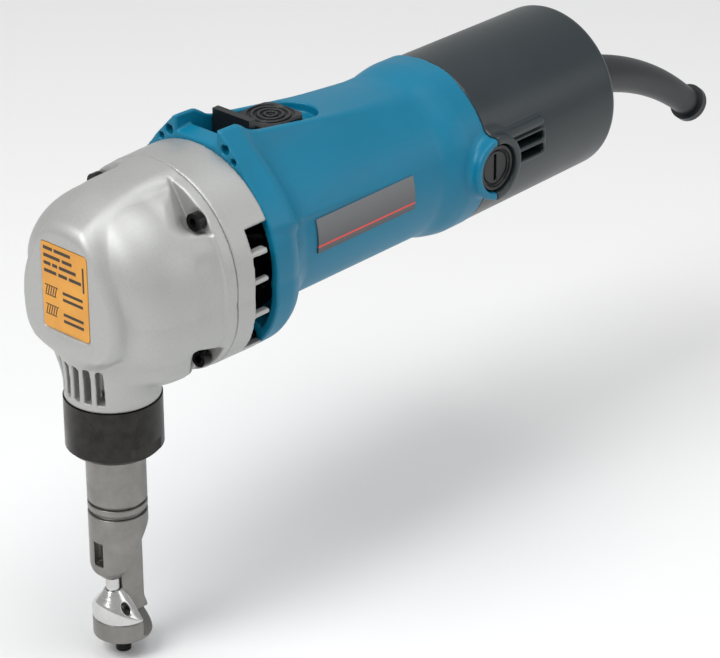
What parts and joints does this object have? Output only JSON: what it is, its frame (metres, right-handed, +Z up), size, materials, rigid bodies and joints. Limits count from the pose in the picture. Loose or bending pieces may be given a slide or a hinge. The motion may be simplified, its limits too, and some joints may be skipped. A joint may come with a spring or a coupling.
{
  "type": "electric nibbler",
  "caption": "Hand-held electric nibbler that cuts sheet metal with a reciprocating punch and die under a right-angle gear head.",
  "frame": {"origin": "where the die holder's turning axis meets the die's cutting face", "axes": "+X from the head towards the cord along the motor axis, +Z up along the die holder, +Y to the tool's left seen from the cord end looking at the head"},
  "size_m": [0.3564, 0.0778, 0.1952],
  "materials": {
    "cast_alloy": "fine sand texture, silver lacquer",
    "blue_plastic": "fine spark texture",
    "dark_plastic": "satin",
    "rubber": "smooth",
    "black_steel": "black oxide",
    "holder_steel": "fine ground",
    "tool_steel": "ground bright",
    "bearing_steel": "polished",
    "machined_steel": "turned",
    "lamination": "stacked sheet, varnished",
    "copper": "enamelled wire",
    "fan_plastic": "moulded",
    "carbon": "pressed carbon",
    "brass": "drawn",
    "switch_plastic": "satin black",
    "orange_label": "printed sheet",
    "plate": "printed foil",
    "bronze": "sintered"
  },
  "bodies": {
    "housing": {"gear_housing": "cast_alloy", "warning_label": "orange_label", "gear_housing_cover": "cast_alloy", "head_screws": "black_steel", "motor_housing": "blue_plastic", "side_plate_left": "plate", "side_plate_right": "plate", "rear_cover": "dark_plastic", "rear_cover_screws": "machined_steel", "cord_guard": "rubber", "cord_clamp": "dark_plastic", "cord_clamp_screws": "machined_steel", "brush_holder_left": "brass", "brush_holder_right": "brass", "carbon_brush_left": "carbon", "carbon_brush_right": "carbon", "brush_spring_left": "machined_steel", "brush_spring_right": "machined_steel", "brush_cap_left": "dark_plastic", "brush_cap_right": "dark_plastic", "switch_unit": "switch_plastic", "field_core": "lamination", "field_coils": "copper", "field_screws": "machined_steel", "baffle_plate": "dark_plastic", "armature_front_bearing": "bearing_steel", "armature_rear_bearing": "bearing_steel", "crank_front_bearing": "bearing_steel", "crank_rear_bearing": "bearing_steel", "guide_bush": "bronze"},
    "armature": {"armature_shaft": "machined_steel", "armature_core": "lamination", "armature_winding": "copper", "commutator": "copper", "fan": "fan_plastic"},
    "crank": {"crankshaft": "machined_steel", "crank_roller": "bearing_steel", "drive_gear": "machined_steel"},
    "ram": {"yoke": "machined_steel"},
    "nose": {"die_holder": "holder_steel", "die": "tool_steel", "die_bolt": "black_steel"},
    "punch_set": {"punch_holder": "holder_steel", "punch": "tool_steel", "punch_set_screw": "black_steel"},
    "nut": {"lock_nut": "black_steel"},
    "switch": {"switch_knob": "switch_plastic", "switch_slider": "switch_plastic", "switch_rod": "switch_plastic"}
  },
  "joints": [
    {"name": "armature_spin", "type": "hinge", "parent": "housing", "child": "armature", "pos_m": [0.11, 0, 0.1215], "axis": [1, 0, 0], "continuous": true},
    {"name": "crank_spin", "type": "hinge", "parent": "housing", "child": "crank", "pos_m": [0.01, 0, 0.10395], "axis": [1, 0, 0], "continuous": true},
    {"name": "ram_stroke", "type": "slide", "parent": "housing", "child": "ram", "axis": [0, 0, 1], "range_m": [0, 0.006]},
    {"name": "die_holder_turn", "type": "hinge", "parent": "housing", "child": "nose", "pos_m": [0, 0, 0.05], "axis": [0, 0, 1], "continuous": true},
    {"name": "punch_stroke", "type": "slide", "parent": "nose", "child": "punch_set", "axis": [0, 0, 1], "range_m": [0, 0.006]},
    {"name": "lock_nut_turn", "type": "hinge", "parent": "housing", "child": "nut", "pos_m": [0, 0, 0.07], "axis": [0, 0, -1], "range_deg": [0, 360]},
    {"name": "switch_slide", "type": "slide", "parent": "housing", "child": "switch", "axis": [-1, 0, 0], "range_m": [0, 0.008]}
  ],
  "couplings": [
    {"joint": "crank_spin", "follows": "armature_spin", "ratio": -0.2},
    {"joint": "punch_stroke", "follows": "ram_stroke", "ratio": 1}
  ]
}
